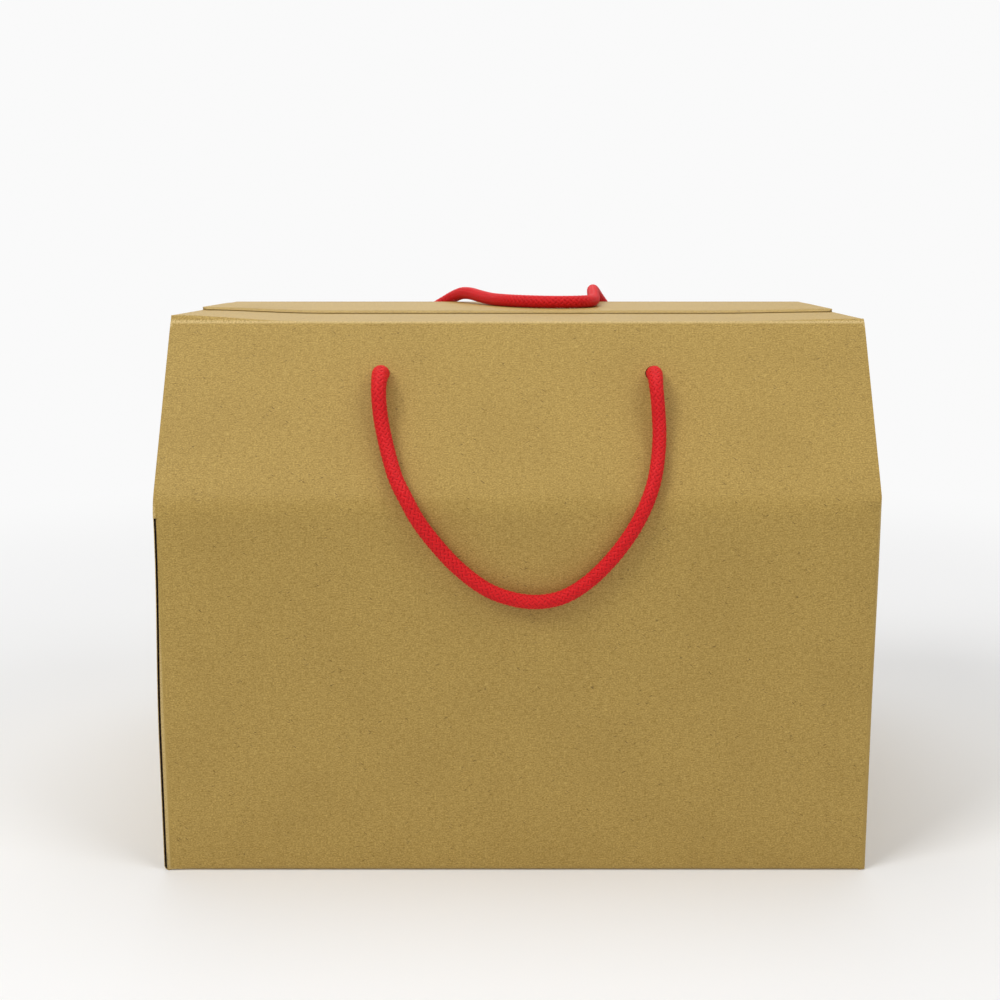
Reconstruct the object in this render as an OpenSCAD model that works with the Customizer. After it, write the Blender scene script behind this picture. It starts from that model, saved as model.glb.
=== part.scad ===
// Gift box with handle: a carry box folded from one sheet of corrugated board. Its front and back
// walls bend in at the shoulder and slope up to a narrower flat top, which closes with one flap
// over the other. Each slope carries a braided rope handle, knotted on the inside.
// Millimetres. The origin is the centre of the base, +Z is up and the front faces -Y.

/* [Box] */
// Width, left to right
width = 310; // [240:1:400]
// Depth of the base, front to back
depth = 250; // [200:1:320]
// Height of the closed box, to the top of its lid flap
height = 241; // [200:1:300]
// Height of the upright walls, up to the shoulder bend
wall_height = 165; // [110:1:200]
// How far each slope leans in from the wall below it
setback = 47.5; // [30:0.5:60]

/* [Board] */
// Thickness of the corrugated board
board = 1.4; // [1:0.1:2]
// Room between two layers of board that lie on each other
lap_gap = 0.1; // [0.1:0.05:0.3]
// Outer radius of a scored fold
crease_r = 2.2; // [2.2:0.1:4]
// Outer radius of the soft bend at the shoulder
shoulder_r = 20; // [6:1:30]

/* [Top flaps] */
// Length of the front flap, which lies under the lid flap
front_flap = 85; // [50:1:95]
// Length of the rear flap, the lid
lid_length = 93; // [60:1:110]
// Length of the dust flap on each side wall
dust_flap = 70; // [40:1:90]
// Width that each top flap is cut back at its two ends
flap_inset = 1; // [0.5:0.1:3]
// Radius of the lid flap's two free corners
lid_corner_r = 3; // [1:0.5:10]

/* [Base flaps] */
// How far the front base flap reaches past the middle
base_lap = 10; // [5:1:30]
// Length of the front base flap's tongue
tongue_length = 46; // [30:1:60]
// Width of the tongue where it starts
tongue_width = 96; // [60:1:140]
// Length of the wing on each side wall
wing = 92; // [60:1:98]
// How far the prongs of the back base flap reach past the middle
prong_reach = 32; // [20:1:60]
// Room between the tongue and the notch that it enters, at each side
tongue_room = 6; // [2:0.5:12]

/* [Glued tabs] */
// Width of the front wall's tab, inside the left wall
joint_tab = 32; // [20:1:45]
// Width of the tabs under the slopes
slope_tab = 22; // [15:1:35]
// How far the left wall's cut edge stops short of the front face
cut_edge_inset = 0.4; // [0.2:0.1:1]

/* [Handles] */
// Distance between the two holes of a handle
hole_span = 120; // [90:1:160]
// Distance from a hole's centre to the slope's top edge
hole_drop = 26; // [18:0.5:36]
// Diameter of the holes
hole_d = 7.6; // [7.4:0.1:9]
// Diameter of the rope
rope_d = 6; // [4:0.5:6]
// Length of a knot's loose tail
tail_length = 15; // [8:1:25]

/* [Hidden] */
$fn = 48;

KRAFT = [0.72, 0.59, 0.37];
KRAFT_TOP = [0.80, 0.70, 0.50];
ROPE_RED = [0.78, 0.12, 0.12];

// One layer of board with the room above it
layer = board + lap_gap;
// Top of the front flap and of the back slope
wall_top = height - layer;
// Top of the dust flaps and of the side walls
side_top = wall_top - layer;
top_depth = depth - 2 * setback;
rise = wall_top - wall_height;
lean = atan2(setback, rise);
slope_length = norm([setback, rise]);
// Height at which the bend of the shoulder starts
shoulder_foot = wall_height - shoulder_r * tan(lean / 2);
// Underside of each layer of the base, from the outside in
wing_level = layer;
back_level = 2 * layer;
tongue_level = 3 * layer;
// Flat strip inside a base fold, before a flap climbs to its layer
foot = crease_r + 0.8;
// Largest turn between two points of a rounded bend
arc_step = 6;
overlap = 0.5;

// Points that the centres of the ropes pass through, from the left knot to the right one
FRONT_ROUTE = [
    [-60, -86.6, 215.6], [-60, -90.9, 217.2], [-60, -94.5, 217.7], [-60, -98.1, 217.1],
    [-60, -101.3, 215.6], [-60, -104.1, 213.3], [-59.9, -106.2, 210.3], [-59.6, -107.7, 206.3],
    [-58.8, -109.3, 199.7], [-57.3, -112.1, 192.8], [-54.9, -116.8, 184.5], [-51.7, -122.6, 175.8],
    [-47.4, -127.3, 168.2], [-42.3, -129, 159], [-35, -129, 149], [-25.5, -129, 138.5],
    [-14, -129, 129.5], [-3, -129, 125], [8, -129, 123.5], [19, -129, 125.5],
    [29.5, -129, 131.8], [39.8, -129, 142], [48.5, -129, 154], [54.5, -127.7, 165.6],
    [58.2, -123, 175.4], [60.1, -117.1, 184.1], [61, -112.1, 192.8], [60.9, -109.3, 199.7],
    [60.5, -107.7, 206.3], [60.2, -106.2, 210.3], [60, -104.1, 213.3], [60, -101.3, 215.6],
    [60, -98.1, 217.1], [60, -94.5, 217.7], [60, -90.9, 217.2], [60, -86.6, 215.6]
];
REAR_ROUTE = [
    [-60.6, 87.5, 214.1], [-60, 90.9, 217.2], [-59.1, 93, 220], [-57.8, 94.2, 223.1],
    [-56, 94.6, 226.3], [-54, 93.9, 229.2], [-50.4, 92, 233.3], [-45.2, 89.1, 237.4],
    [-39.6, 85, 240.9], [-34.5, 79.8, 243.9], [-30, 72.5, 245.8], [-25.2, 63, 246],
    [-20, 52, 245.1], [-14, 38.5, 244.3], [-7, 25.5, 244.2], [2.5, 14.2, 244.2],
    [13.5, 7.2, 244.2], [24.3, 5.9, 244.2], [32.8, 10.4, 244.2], [37.8, 19.8, 244.2],
    [39.5, 31.5, 244.5], [40, 45, 245.5], [40.2, 58.5, 247], [40.9, 70.3, 247.6],
    [42.4, 79.4, 246.1], [44.9, 85.9, 242.6], [48.2, 90, 238.3], [51.6, 92.6, 233.9],
    [54.8, 93.7, 229.6], [56.5, 94.4, 226.6], [58, 94.1, 223.3], [59.2, 92.9, 220.1],
    [60, 90.9, 217.2], [60.5, 87.5, 214.1]
];
rope_sides = 12;

// Folded sheet

function unit(v) = v / norm(v);

// Points of the arc that rounds the corner b between a and c
function bend(a, b, c, r) =
    let (
        u = unit(b - a),
        v = unit(c - b),
        turn = acos(u * v),
        side = sign(u[0] * v[1] - u[1] * v[0]),
        normal = side * [-u[1], u[0]],
        centre = b - u * r * tan(turn / 2) + normal * r,
        count = ceil(turn / arc_step)
    )
    [
        for (i = [0:count])
            let (t = side * turn * i / count)
            centre - r * [
                normal[0] * cos(t) - normal[1] * sin(t),
                normal[0] * sin(t) + normal[1] * cos(t)
            ]
    ];

// A path with its inner corners rounded, each by its own radius; 0 leaves a corner sharp
function rounded(points, radii) = [
    for (i = [0:len(points) - 1])
        each (i == 0 || i == len(points) - 1 || radii[i] == 0)
            ? [points[i]]
            : bend(points[i - 1], points[i], points[i + 1], radii[i])
];

// Shift of a path's point i to the line one unit to the path's right
function shift(path, i) =
    let (
        a = max(i, 1),
        b = min(i + 1, len(path) - 1),
        u = unit(path[a] - path[a - 1]),
        v = unit(path[b] - path[b - 1]),
        mid = unit(u + v)
    )
    [mid[1], -mid[0]] / (mid * u);

function beside(path, distance) = [
    for (i = [0:len(path) - 1])
        path[i] + shift(path, i) * distance
];

function reversed(list) = [
    for (i = [len(list) - 1:-1:0])
        list[i]
];

// Section of a bent board, from the path of its outer face
module board_section(path) {
    polygon(concat(path, reversed(beside(path, board))));
}

// Lays a section drawn as [distance in from the wall's outer face, height] along the front wall
module along_front(from_x, to_x) {
    translate([from_x, -depth / 2, 0])
        rotate([90, 0, 90])
            linear_extrude(to_x - from_x)
                children();
}

// The same along the right wall
module along_right(from_y, to_y) {
    translate([width / 2, from_y, 0])
        rotate([90, 0, 180])
            linear_extrude(to_y - from_y)
                children();
}

// Frame with its origin at the front shoulder, +Y up the slope and +Z out of its face
module on_front_slope() {
    translate([0, -depth / 2, wall_height])
        rotate([90 - lean, 0, 0])
            children();
}

// Outer face of a slope, from the shoulder's foot to its top crease
function slope_face() = [
    [0, 0],
    [0, wall_height],
    [setback, wall_top]
];

function front_face() = rounded(
    [
        [depth / 2 + base_lap, 0],
        [0, 0],
        [0, wall_height],
        [setback, wall_top],
        [setback + front_flap, wall_top]
    ],
    [0, crease_r, shoulder_r, crease_r, 0]
);

function back_face() = rounded(
    [
        [depth / 2 + prong_reach, back_level],
        [foot + back_level, back_level],
        [foot, 0],
        [0, 0],
        [0, wall_height],
        [setback, wall_top]
    ],
    [0, 0, 0, crease_r, shoulder_r, 0]
);

function side_face() = rounded(
    [
        [wing, wing_level],
        [foot + wing_level, wing_level],
        [foot, 0],
        [0, 0],
        [0, side_top],
        [dust_flap, side_top]
    ],
    [0, 0, 0, crease_r, crease_r, 0]
);

// Outline of a side wall, inside the bent front and back walls, with heights from the floor
function side_wall_half() = beside(
    rounded(slope_face(), [0, shoulder_r, 0]),
    board - overlap
);

module side_wall_outline() {
    edge = side_wall_half();
    intersection() {
        polygon(concat(
            [for (p = edge) p - [depth / 2, 0]],
            [for (p = reversed(edge)) [depth / 2 - p[0], p[1]]]
        ));
        translate([-depth / 2, 0])
            square([depth, side_top]);
    }
}

// Front wall, slope, top flap and base flap in one bent strip
module front_strip() {
    difference() {
        along_front(-width / 2, width / 2)
            board_section(front_face());
        // Ends of the top flap
        for (side = [-1, 1])
            translate([side * width / 2, -top_depth / 2 + crease_r + front_flap / 2, wall_top])
                cube([2 * flap_inset, front_flap, 4 * board], center = true);
        // Ends of the base flap, clear of the wings' folds
        for (side = [-1, 1])
            translate([side * width / 2, base_lap / 2 + crease_r + 1, 0])
                cube([2 * base_inset(), depth + base_lap, 2 * wing_level], center = true);
        // Left end of the wall, folded one board in from the corner
        translate([-width / 2 - 1, -depth / 2 - 1, -1])
            linear_extrude(1 + shoulder_foot)
                difference() {
                    square([1 + board + crease_r, 1 + crease_r]);
                    translate([1 + board + crease_r, 1 + crease_r])
                        circle(crease_r);
                }
        front_flap_corners();
    }
}

// Room that the base flaps keep from the folds of the wings
function base_inset() = foot + wing_level + 1.5;

// Free corners of the front flap
module front_flap_corners() {
    free_y = -top_depth / 2 + front_flap;
    for (side = [-1, 1])
        translate([side * (width / 2 - flap_inset), free_y, wall_top])
            rotate([0, 0, 45])
                cube([2 * lid_corner_r, 2 * lid_corner_r, 4 * board], center = true);
}

// Tongue that climbs from the front base flap to lie over the back one
module tongue() {
    start = depth / 2 + base_lap;
    tip = start + tongue_length;
    tip_half = tongue_width / 2 - tongue_length / 4;
    path = [
        [tip, tongue_level],
        [start + tongue_level, tongue_level],
        [start, 0],
        [start - board, 0]
    ];
    intersection() {
        along_front(-tongue_width / 2, tongue_width / 2)
            board_section(path);
        linear_extrude(tongue_level + 2 * board)
            polygon([
                [-tongue_width / 2, base_lap - 2 * board],
                [tongue_width / 2, base_lap - 2 * board],
                [tongue_width / 2, base_lap + tongue_length / 2],
                [tip_half, base_lap + tongue_length],
                [-tip_half, base_lap + tongue_length],
                [-tongue_width / 2, base_lap + tongue_length / 2]
            ]);
    }
}

// Back wall, slope and pronged base flap
module back_strip() {
    notch_half = tongue_width / 2 + tongue_room;
    notch_back = base_lap + tongue_level + 2 * board;
    difference() {
        mirror([0, 1, 0])
            along_front(-width / 2, width / 2)
                board_section(back_face());
        // Ends of the base flap
        for (side = [-1, 1])
            translate([side * width / 2, -prong_reach / 2 - foot, 0])
                cube([2 * base_inset(), depth + prong_reach, 2 * tongue_level], center = true);
        // Notch that takes the tongue
        translate([-notch_half, -prong_reach - 1, -1])
            cube([2 * notch_half, prong_reach + 1 + notch_back, tongue_level + 2 * board]);
        // Outer corners of the prongs
        for (side = [-1, 1])
            translate([side * (width / 2 - base_inset()), -prong_reach, back_level])
                rotate([0, 0, 45])
                    cube([18, 18, 4 * board], center = true);
    }
}

// Side wall, dust flap and base wing, for the right side
module side_strip() {
    wall_x = width / 2 - foot;
    intersection() {
        along_right(-depth / 2, depth / 2)
            board_section(side_face());
        union() {
            translate([wall_x, 0, 0])
                rotate([90, 0, 90])
                    linear_extrude(foot + 1)
                        side_wall_outline();
            translate([width / 2, 0, -1])
                linear_extrude(wing_level + board + 2)
                    wing_outline();
            translate([width / 2, 0, side_top - 3 * board])
                linear_extrude(4 * board)
                    dust_flap_outline();
        }
    }
}

// Plan of a wing, from the right wall inwards: its back edge is cut away at 45 degrees
module wing_outline() {
    front = -depth / 2 + foot + board;
    back = depth / 2 - foot - back_level - board;
    polygon([
        [-foot + overlap, front],
        [-wing + 18, front],
        [-wing, front + 30],
        [-wing, base_lap + 10],
        [-foot - 14, back],
        [-foot + overlap, back]
    ]);
}

// Plan of a dust flap, which narrows towards its free edge
module dust_flap_outline() {
    root = top_depth / 2 - crease_r - board;
    free = root - dust_flap / 6;
    polygon([
        [-foot + overlap, -root],
        [-dust_flap + lid_corner_r, -free],
        [-dust_flap, -free + lid_corner_r],
        [-dust_flap, free - lid_corner_r],
        [-dust_flap + lid_corner_r, free],
        [-foot + overlap, root]
    ]);
}

// Tab of the side wall that is glued under the right end of the front slope
module slope_glue_tab() {
    low = 12;
    high = slope_length - 12;
    inner = -board - slope_tab;
    on_front_slope()
        translate([width / 2, 0, -2 * board])
            linear_extrude(board + lap_gap)
                polygon([
                    [-overlap, low],
                    [-overlap, high],
                    [inner + 6, high - 3],
                    [inner, high - 14],
                    [inner, low + 14],
                    [inner + 6, low + 3]
                ]);
}

// Tab folded back from the front wall's left end and glued inside the left wall
module joint_glue_tab() {
    low = 8;
    high = shoulder_foot - 1;
    translate([-width / 2, -depth / 2, 0]) {
        translate([board + crease_r, crease_r, low])
            linear_extrude(high - low)
                intersection() {
                    difference() {
                        circle(crease_r);
                        circle(crease_r - board);
                    }
                    translate([-crease_r, -crease_r])
                        square(crease_r);
                }
        translate([board - lap_gap, 0, 0])
            rotate([90, 0, 90])
                linear_extrude(board + lap_gap)
                    polygon([
                        [crease_r, low],
                        [joint_tab, low + 10],
                        [joint_tab, high - 10],
                        [crease_r, high]
                    ]);
    }
}

// Front edge of the left wall, which covers the fold of the front wall's tab
module joint_edge() {
    mirror([1, 0, 0])
        intersection() {
            along_right(-depth / 2 + cut_edge_inset, -depth / 2 + 2 * board)
                board_section(side_face());
            translate([width / 2 - board, -depth / 2, 0])
                cube([board, 2 * board, shoulder_foot]);
        }
}

// Plan of the upright walls, with the three plain corners rounded and the glued one square
module wall_plan() {
    inner_w = width - 2 * crease_r;
    inner_d = depth - 2 * crease_r;
    square([inner_w, depth], center = true);
    square([width, inner_d], center = true);
    for (side = [-1, 1])
        translate([side * inner_w / 2, inner_d / 2])
            circle(crease_r);
    translate([inner_w / 2, -inner_d / 2])
        circle(crease_r);
    translate([-width / 2, -depth / 2])
        square(2 * crease_r);
}

// The two holes of a handle in the front slope
module rope_holes() {
    for (side = [-1, 1])
        on_front_slope()
            translate([side * hole_span / 2, slope_length - hole_drop, -3 * board])
                cylinder(d = hole_d, h = 6 * board);
}

// The folded blank, without its lid flap
module box_body() {
    color(KRAFT)
        difference() {
            intersection() {
                union() {
                    front_strip();
                    back_strip();
                    tongue();
                    for (side = [0, 1])
                        mirror([side, 0, 0]) {
                            side_strip();
                            slope_glue_tab();
                            mirror([0, 1, 0])
                                slope_glue_tab();
                        }
                    joint_glue_tab();
                    joint_edge();
                }
                linear_extrude(height)
                    wall_plan();
            }
            rope_holes();
            mirror([0, 1, 0])
                rope_holes();
        }
}

// The rear top flap, which closes over the front one
module lid_flap() {
    half = width / 2 - flap_inset - lap_gap;
    back = top_depth / 2;
    free = back - lid_length;
    plan = [
        [-half, back],
        [-half, free + lid_corner_r],
        [-half + lid_corner_r, free],
        [half - lid_corner_r, free],
        [half, free + lid_corner_r],
        [half, back]
    ];
    section = rounded(
        [
            [free, height],
            [back, height],
            [back, height - board]
        ],
        [0, board, 0]
    );
    color(KRAFT_TOP)
        intersection() {
            translate([-half, 0, 0])
                rotate([90, 0, 90])
                    linear_extrude(2 * half)
                        polygon(concat(section, [[free, height - board]]));
            translate([0, 0, height - 2 * board])
                linear_extrude(3 * board)
                    polygon(plan);
        }
}

// Ropes

function tangent(route, i) = unit(route[min(i + 1, len(route) - 1)] - route[max(i - 1, 0)]);

// Side directions carried along the route without twist, from the direction before point i
function side_directions(route, i, before) =
    i == len(route)
        ? []
        : let (
            t = tangent(route, i),
            here = unit(before - t * (before * t))
        )
        concat([here], side_directions(route, i + 1, here));

// A round rope swept along a route
module rope(route) {
    rings = len(route);
    sides = side_directions(route, 0, [1, 0, 0]);
    points = [
        for (i = [0:rings - 1])
            for (k = [0:rope_sides - 1])
                let (
                    a = 360 * k / rope_sides,
                    up = cross(tangent(route, i), sides[i])
                )
                route[i] + rope_d / 2 * (cos(a) * sides[i] + sin(a) * up)
    ];
    walls = [
        for (i = [0:rings - 2])
            for (k = [0:rope_sides - 1])
                let (
                    next = (k + 1) % rope_sides,
                    a = i * rope_sides
                )
                [a + k, a + rope_sides + k, a + rope_sides + next, a + next]
    ];
    first = [for (k = [0:rope_sides - 1]) k];
    last = [for (k = [rope_sides - 1:-1:0]) (rings - 1) * rope_sides + k];
    polyhedron(points, concat(walls, [first, last]));
}

module front_cord() {
    color(ROPE_RED)
        rope(FRONT_ROUTE);
}

module rear_cord() {
    color(ROPE_RED)
        rope(REAR_ROUTE);
}

// A pulled-tight knot that bears on the inside of the board: two turns round a core, and a tail
module knot_shape() {
    turn_r = rope_d / 2;
    collar = hole_d / 2 + 0.8;
    rotate([180, 0, 0]) {
        rotate_extrude() {
            translate([collar, turn_r])
                circle(turn_r);
            translate([collar - 0.4, 2.7 * turn_r])
                circle(turn_r);
            square([collar, 3.6 * turn_r]);
        }
        translate([0, 0, 2 * turn_r])
            rotate([24, 0, 0])
                cylinder(d = rope_d, h = turn_r + tail_length);
    }
}

// Seats a knot under the front slope's hole on the given side, -1 for left and 1 for right
module front_knot(side) {
    color(ROPE_RED)
        on_front_slope()
            translate([side * hole_span / 2, slope_length - hole_drop, -board])
                knot_shape();
}

module front_left_knot() {
    front_knot(-1);
}

module front_right_knot() {
    front_knot(1);
}

module rear_left_knot() {
    mirror([0, 1, 0])
        front_knot(-1);
}

module rear_right_knot() {
    mirror([0, 1, 0])
        front_knot(1);
}

box_body();
lid_flap();
front_cord();
rear_cord();
front_left_knot();
front_right_knot();
rear_left_knot();
rear_right_knot();
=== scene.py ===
"""Gift box with handle: board, raw edges, braided ropes and knots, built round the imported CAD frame."""

import logging
import math
from dataclasses import dataclass, field
from enum import Enum
from typing import Callable, Iterable, Sequence

import bmesh
import bpy
from mathutils import Matrix, Vector
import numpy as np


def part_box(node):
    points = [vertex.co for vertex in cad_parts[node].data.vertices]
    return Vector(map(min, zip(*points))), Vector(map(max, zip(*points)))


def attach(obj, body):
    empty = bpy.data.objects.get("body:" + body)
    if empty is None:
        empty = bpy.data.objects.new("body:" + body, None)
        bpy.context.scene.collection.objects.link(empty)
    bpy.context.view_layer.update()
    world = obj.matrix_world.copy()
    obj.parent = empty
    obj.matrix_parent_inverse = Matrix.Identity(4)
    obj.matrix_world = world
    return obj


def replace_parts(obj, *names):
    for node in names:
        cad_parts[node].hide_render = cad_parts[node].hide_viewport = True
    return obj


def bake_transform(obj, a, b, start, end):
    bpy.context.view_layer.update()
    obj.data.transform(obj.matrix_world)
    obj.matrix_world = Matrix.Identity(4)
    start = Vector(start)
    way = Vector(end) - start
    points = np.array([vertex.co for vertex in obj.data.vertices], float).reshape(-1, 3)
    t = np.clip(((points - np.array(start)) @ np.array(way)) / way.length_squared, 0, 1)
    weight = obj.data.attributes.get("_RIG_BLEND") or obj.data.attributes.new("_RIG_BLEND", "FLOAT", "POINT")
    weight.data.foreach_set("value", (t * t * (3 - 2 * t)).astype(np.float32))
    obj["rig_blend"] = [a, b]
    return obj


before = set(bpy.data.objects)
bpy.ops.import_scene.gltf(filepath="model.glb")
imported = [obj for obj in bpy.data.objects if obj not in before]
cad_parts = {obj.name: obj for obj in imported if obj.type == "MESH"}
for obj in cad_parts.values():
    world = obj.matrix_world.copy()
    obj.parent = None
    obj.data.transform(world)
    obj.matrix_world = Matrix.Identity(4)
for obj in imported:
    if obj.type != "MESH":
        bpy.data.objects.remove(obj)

LOG = logging.getLogger("gift_box")
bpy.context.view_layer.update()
MM = 0.001
Point = tuple[float, float, float]


class Body(Enum):
    """The CAD bodies that pieces ride on."""

    BOX = "box"
    LID = "lid"


class Slot(Enum):
    """The record's material slots."""

    BOARD = "kraft_board"
    ROPE = "braided_rope"


class Lay(Enum):
    """The way a strand winds round its rope, seen along it."""

    LEFT = -1
    RIGHT = 1


# Shaders


class Field:
    """A number that varies over a surface. Python's operators on it add Math nodes."""

    def __init__(self, shader: "Shader", socket: bpy.types.NodeSocket) -> None:
        """Wraps a node's output socket.

        Args:
            shader: The material that the socket belongs to.
            socket: The output that gives the number.
        """
        self.shader = shader
        self.socket = socket

    def apply(self, operation: str, *others: "Field | float") -> "Field":
        """Adds a Math node with this field as its first value.

        Args:
            operation: The Math node's operation.
            others: The values after the first one.

        Returns:
            The result.
        """
        values = dict(enumerate((self, *others)))
        node = self.shader.node("ShaderNodeMath", {"operation": operation}, values)
        return Field(self.shader, node.outputs[0])

    def __add__(self, other: "Field | float") -> "Field":
        """Sum."""
        return self.apply("ADD", other)

    def __radd__(self, other: float) -> "Field":
        """Sum with a plain number first."""
        return self.apply("ADD", other)

    def __sub__(self, other: "Field | float") -> "Field":
        """Difference."""
        return self.apply("SUBTRACT", other)

    def __rsub__(self, other: float) -> "Field":
        """A plain number minus this field."""
        return (self * -1.0) + other

    def __mul__(self, other: "Field | float") -> "Field":
        """Product."""
        return self.apply("MULTIPLY", other)

    def __rmul__(self, other: float) -> "Field":
        """Product with a plain number first."""
        return self.apply("MULTIPLY", other)

    def __abs__(self) -> "Field":
        """Size without sign."""
        return self.apply("ABSOLUTE")

    def sine(self) -> "Field":
        """Sine of an angle in radians."""
        return self.apply("SINE")

    def hypot(self, other: "Field") -> "Field":
        """Length of the two numbers taken as a vector."""
        return (self * self + other * other).apply("SQRT")

    def least(self, other: "Field") -> "Field":
        """The smaller of the two."""
        return self.apply("MINIMUM", other)

    def step(self, low: float, high: float) -> "Field":
        """Smooth step from 0 at low to 1 at high, or falling where low is above high.

        Args:
            low: The value that gives 0.
            high: The value that gives 1.

        Returns:
            The step.
        """
        settings = {"interpolation_type": "SMOOTHSTEP"}
        first, last = (0.0, 1.0) if low < high else (1.0, 0.0)
        values = {0: self, 1: min(low, high), 2: max(low, high), 3: first, 4: last}
        return Field(self.shader, self.shader.node("ShaderNodeMapRange", settings, values).outputs[0])


Colour = tuple[float, float, float]


class Shader:
    """One node material, with short ways to add the nodes that the finishes use."""

    def __init__(self, name: str) -> None:
        """Makes an empty material with a Principled BSDF.

        Args:
            name: The material's name.
        """
        self.material = bpy.data.materials.new(name)
        self.material.use_nodes = True
        self.tree = self.material.node_tree
        self.tree.nodes.clear()
        self.surface = self.tree.nodes.new("ShaderNodeBsdfPrincipled")
        output = self.tree.nodes.new("ShaderNodeOutputMaterial")
        self.tree.links.new(self.surface.outputs[0], output.inputs[0])

    def put(self, socket: bpy.types.NodeSocket, value: object) -> None:
        """Links or sets one input socket.

        Args:
            socket: The input.
            value: A field, an output socket, or a plain value.
        """
        if isinstance(value, Field):
            value = value.socket
        if isinstance(value, bpy.types.NodeSocket):
            self.tree.links.new(value, socket)
        elif isinstance(value, tuple) and len(value) == 3 and socket.type == "RGBA":
            socket.default_value = (*value, 1.0)
        else:
            socket.default_value = value

    def node(self, kind: str, settings: dict[str, object], values: dict[int | str, object]) -> bpy.types.Node:
        """Adds a node.

        Args:
            kind: The node's type.
            settings: Its own settings, set first.
            values: What goes into its sockets, by name or number.

        Returns:
            The node.
        """
        made = self.tree.nodes.new(kind)
        for name, value in settings.items():
            setattr(made, name, value)
        for key, value in values.items():
            self.put(made.inputs[key], value)
        return made

    def finish(self, **values: object) -> bpy.types.Material:
        """Sets the Principled BSDF's sockets, named with underscores for spaces.

        Returns:
            The finished material.
        """
        for name, value in values.items():
            self.put(self.surface.inputs[name.replace("_", " ")], value)
        return self.material

    def coordinates(self) -> tuple[Field, Field, Field]:
        """The object's X, Y and Z, in metres."""
        source = self.node("ShaderNodeTexCoord", {}, {}).outputs["Object"]
        split = self.node("ShaderNodeSeparateXYZ", {}, {0: source})
        return tuple(Field(self, socket) for socket in split.outputs)

    def uv(self, name: str) -> bpy.types.NodeSocket:
        """The piece's own UV map of that name."""
        return self.node("ShaderNodeUVMap", {"uv_map": name}, {}).outputs[0]

    def attribute(self, name: str) -> Field:
        """A number stored on the mesh."""
        return Field(self, self.node("ShaderNodeAttribute", {"attribute_name": name}, {}).outputs["Fac"])

    def stretched(self, vector: bpy.types.NodeSocket, turn: float, scale: Point) -> bpy.types.NodeSocket:
        """Turns a vector about Z and then scales it.

        Args:
            vector: The coordinates.
            turn: Degrees.
            scale: Factors along X, Y and Z.

        Returns:
            The new coordinates.
        """
        inverse = tuple(1.0 / factor for factor in scale)
        values = {"Vector": vector, "Rotation": (0.0, 0.0, math.radians(turn)), "Scale": inverse}
        return self.node("ShaderNodeMapping", {"vector_type": "TEXTURE"}, values).outputs[0]

    def noise(
        self, vector: bpy.types.NodeSocket, scale: float, detail: float = 2.0, rough: float = 0.5
    ) -> Field:
        """Smooth noise about 0.5.

        Args:
            vector: Where it is read.
            scale: Features per unit of length.
            detail: Octaves beyond the first.
            rough: Weight of the finer octaves.

        Returns:
            The noise.
        """
        values = {"Vector": vector, "Scale": scale, "Detail": detail, "Roughness": rough}
        return Field(self, self.node("ShaderNodeTexNoise", {}, values).outputs[0])

    def specks(self, vector: bpy.types.NodeSocket, scale: float, size: float, share: float) -> Field:
        """Small scattered spots.

        Args:
            vector: Where they are read.
            scale: Cells per unit of length.
            size: Radius of a spot, as a share of a cell.
            share: Share of the cells that hold one.

        Returns:
            1 in the spots and 0 between them.
        """
        cells = self.node("ShaderNodeTexVoronoi", {}, {"Vector": vector, "Scale": scale, "Randomness": 1.0})
        split = self.node("ShaderNodeSeparateColor", {}, {0: cells.outputs["Color"]})
        chosen = Field(self, split.outputs[0]).step(share + 0.01, share)
        return Field(self, cells.outputs["Distance"]).step(size, size * 0.5) * chosen

    def mix(self, factor: Field | float, first: object, second: object) -> bpy.types.NodeSocket:
        """Mixes two colours.

        Args:
            factor: 0 for the first, 1 for the second.
            first: A colour or a colour socket.
            second: Another.

        Returns:
            The mixed colour.
        """
        values = {0: factor, 6: first, 7: second}
        return self.node("ShaderNodeMix", {"data_type": "RGBA"}, values).outputs[2]

    def bump(self, height: Field, distance: float, strength: float = 1.0) -> bpy.types.NodeSocket:
        """Normal of a surface raised by a height.

        Args:
            height: The height, about 0 to 1.
            distance: What a height of 1 is, in metres.
            strength: How much of it shows.

        Returns:
            The normal.
        """
        values = {"Height": height, "Distance": distance, "Strength": strength}
        return self.node("ShaderNodeBump", {}, values).outputs[0]


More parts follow.
